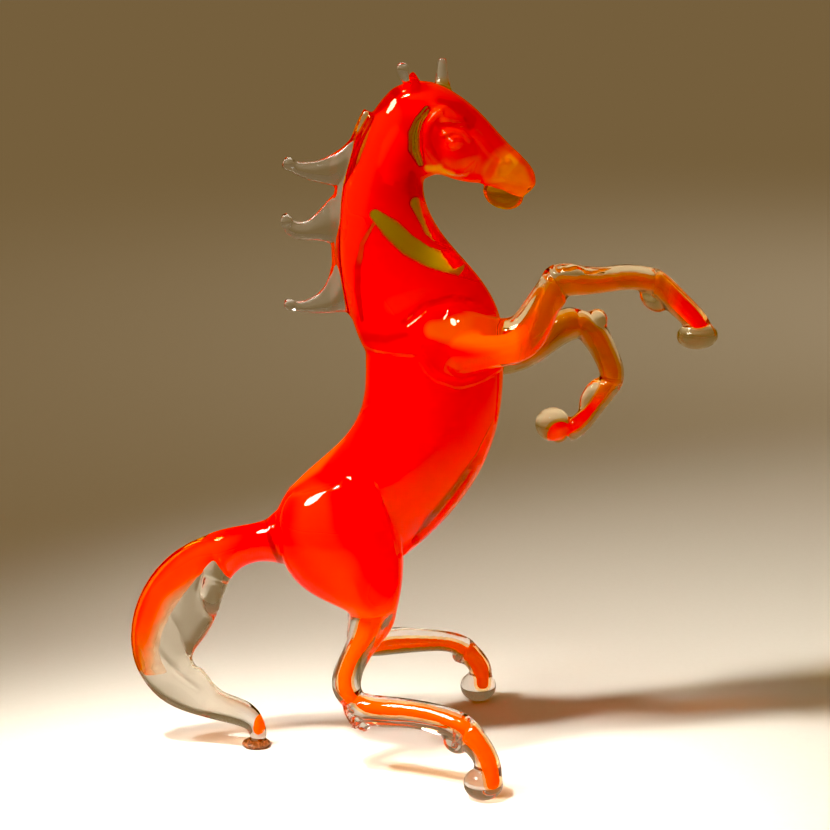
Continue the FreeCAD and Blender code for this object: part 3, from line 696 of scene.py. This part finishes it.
def lamp(name, place, target, size, power, colour, spread=180.0):
    """A round soft light at place that faces target. spread is the angle of its cone in degrees."""
    data = bpy.data.lights.new(name, "AREA")
    data.shape = "DISK"
    data.size = size
    data.energy = power
    data.color = colour
    data.spread = math.radians(spread)
    light = bpy.data.objects.new(name, data)
    bpy.context.scene.collection.objects.link(light)
    light.location = place
    light.rotation_euler = (Vector(target) - Vector(place)).to_track_quat("-Z", "Y").to_euler()
    return light


# ---------------------------------------------------------------- the clear skin

skin = remeshed(joined("skin", [nodes[name] for name in SKIN_NODES]), SKIN_VOXEL)
skin_x, skin_z = (places_of(skin.data)[:, [0, 2]] / MM).T
crest = smooth_step(skin_x, -12, -14) * smooth_step(skin_z, 70, 74)
ears = smooth_step(skin_z, 112, 114)
face = smooth_step(skin_x, 0, 3) * smooth_step(skin_z, 90, 93)
mane = smooth_step(skin_x, -12.6, -14.6) * smooth_step(skin_z, 70, 74)
flowed(skin, steps=30, share=1 - np.maximum(0.8 * np.maximum(crest, ears), 0.6 * face))
tooled(skin.data)
flowed(skin, steps=1)
pressed = pulled(places_of(skin.data))
pressed[:, 1] *= 1 - FLAT_MANE * mane
set_places(skin.data, pressed)
drops = np.zeros(len(pressed))
for tip in MANE_TIPS:
    gap = np.linalg.norm(pressed / MM - tip, axis=1)
    drops = np.maximum(drops, 1 - smooth_step(gap, 0.5, 1.6))
growth = (SKIN_GROWTH + DROP_GROWTH * drops) * MM
set_places(skin.data, pressed + growth[:, None] * normals_of(skin.data))
paint(skin.data, "tint", tint_skin(places_of(skin.data) / MM))
skin_tree = BVHTree.FromPolygons(places_of(skin.data).tolist(), triangles_of(skin.data).tolist())
split(skin, SKIN_NODES, skin_glass())

# ---------------------------------------------------------------- the coloured core

gathers = remeshed(joined("gathers", [nodes[name] for name in GATHERS]), CORE_VOXEL)
flowed(gathers, steps=20)
set_places(gathers.data, places_of(gathers.data) - COAT_DEPTH * MM * normals_of(gathers.data))
foot_places = places_of(nodes["tail_foot"].data) / MM
foot_middle = (foot_places.min(0) + foot_places.max(0)) / 2
hoof_drop = coloured_drop(HOOF_DROP, HOOF_DROP_RADIUS)
hook_drop = coloured_drop(foot_middle + HOOK_DROP, HOOK_DROP_RADIUS, HOOK_DROP_TALLNESS)
added = [gathers, hoof_drop, hook_drop]
core = joined("core", added + [nodes[name] for name in CORES])
for thing in added:
    bpy.data.objects.remove(thing)
remeshed(core, CORE_VOXEL)
flowed(core, steps=14)
tooled(core.data, CORE_TOOLING)
set_places(core.data, pulled(places_of(core.data)))
split(haloed(core), CORES, core_glass())

# ---------------------------------------------------------------- bubbles

gas = bubble_glass()
for name, route, count, seed in BUBBLES:
    bubbles(name, route, count, seed, skin_tree, gas)

# ---------------------------------------------------------------- the foot of the tail

foot = remeshed(joined("tail_foot_glass", [nodes["tail_foot"]]), FOOT_VOXEL)
flowed(foot, steps=8)
foot.data.shade_smooth()
foot.data.materials.append(brown_glass())
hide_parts("tail_foot")
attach(foot, "root")

# ---------------------------------------------------------------- stage

# Metres from here on.
AIM = Vector((-0.0005, 0.0, 0.0578))
DISTANCE = 0.42
TILT = math.radians(12)
LENS = 109.7                        # focal length in millimetres, for a sensor 36 mm wide
FLOOR_REACH = 6.0                   # half the floor's width
KEY_AT = (-0.35, -0.16, 0.47)
WARM_WHITE = (1.0, 0.93, 0.82)
PALE_WARM_WHITE = (1.0, 0.97, 0.9)
AMBER_WHITE = (1.0, 0.88, 0.70)

camera_data = bpy.data.cameras.new("camera")
camera_data.lens = LENS
camera_data.sensor_width = 36
camera = bpy.data.objects.new("camera", camera_data)
bpy.context.scene.collection.objects.link(camera)
camera.location = AIM + DISTANCE * Vector((0, -math.cos(TILT), math.sin(TILT)))
camera.rotation_euler = (math.radians(90) - TILT, 0, 0)
bpy.context.scene.camera = camera

floor_corners = np.array([(-1, -1, 0), (1, -1, 0), (1, 1, 0), (-1, 1, 0)], float) * FLOOR_REACH
floor = mesh_object("floor", floor_corners, [(0, 1, 2, 3)])
floor.data.materials.append(floor_paper())

# The key casts the long shadow to the right. The card at the same place is broader and lights no matt
# surface. It gives the highlights and the light seen through the glass, so the key's own highlight is off.
# The top lamp makes the pool of light in front, and the back lamp lightens the paper far behind.
key = lamp("key", KEY_AT, (0.085, 0.02, 0), 0.065, 0.165, WARM_WHITE, 34)
key.visible_glossy = False
card = lamp("card", KEY_AT, (0, 0, 0.06), 0.19, 2.6, PALE_WARM_WHITE)
card.visible_diffuse = False
lamp("top", (-0.17, -0.19, 0.5), (-0.03, -0.06, 0), 0.05, 0.125, WARM_WHITE, 23)
lamp("back", (0.3, 0.42, 0.6), (0.19, 0.42, 0), 0.3, 0.1, AMBER_WHITE, 70)

world = bpy.data.worlds.new("studio")
bpy.context.scene.world = world
world.use_nodes = True
sky = world.node_tree
direction = add(sky, "TexCoord").outputs["Generated"]
height = add(sky, "SeparateXYZ", {0: direction}).outputs["Z"]
dusk = add(sky, "ValToRGB", {"Fac": height})
dusk.color_ramp.elements[0].color = (0.186, 0.138, 0.085, 1)
dusk.color_ramp.elements[1].color = (0.226, 0.163, 0.093, 1)
sky.links.new(dusk.outputs["Color"], sky.nodes["Background"].inputs["Color"])

display = bpy.context.scene.view_settings
display.view_transform = "Standard"
display.use_curve_mapping = True
display.curve_mapping.black_level = (0.012, 0.022, 0.03)     # deepens the shadows, most of all in blue
display.curve_mapping.update()
cycles = bpy.context.scene.cycles
cycles.max_bounces = 24
cycles.transmission_bounces = 24
cycles.transparent_max_bounces = 32
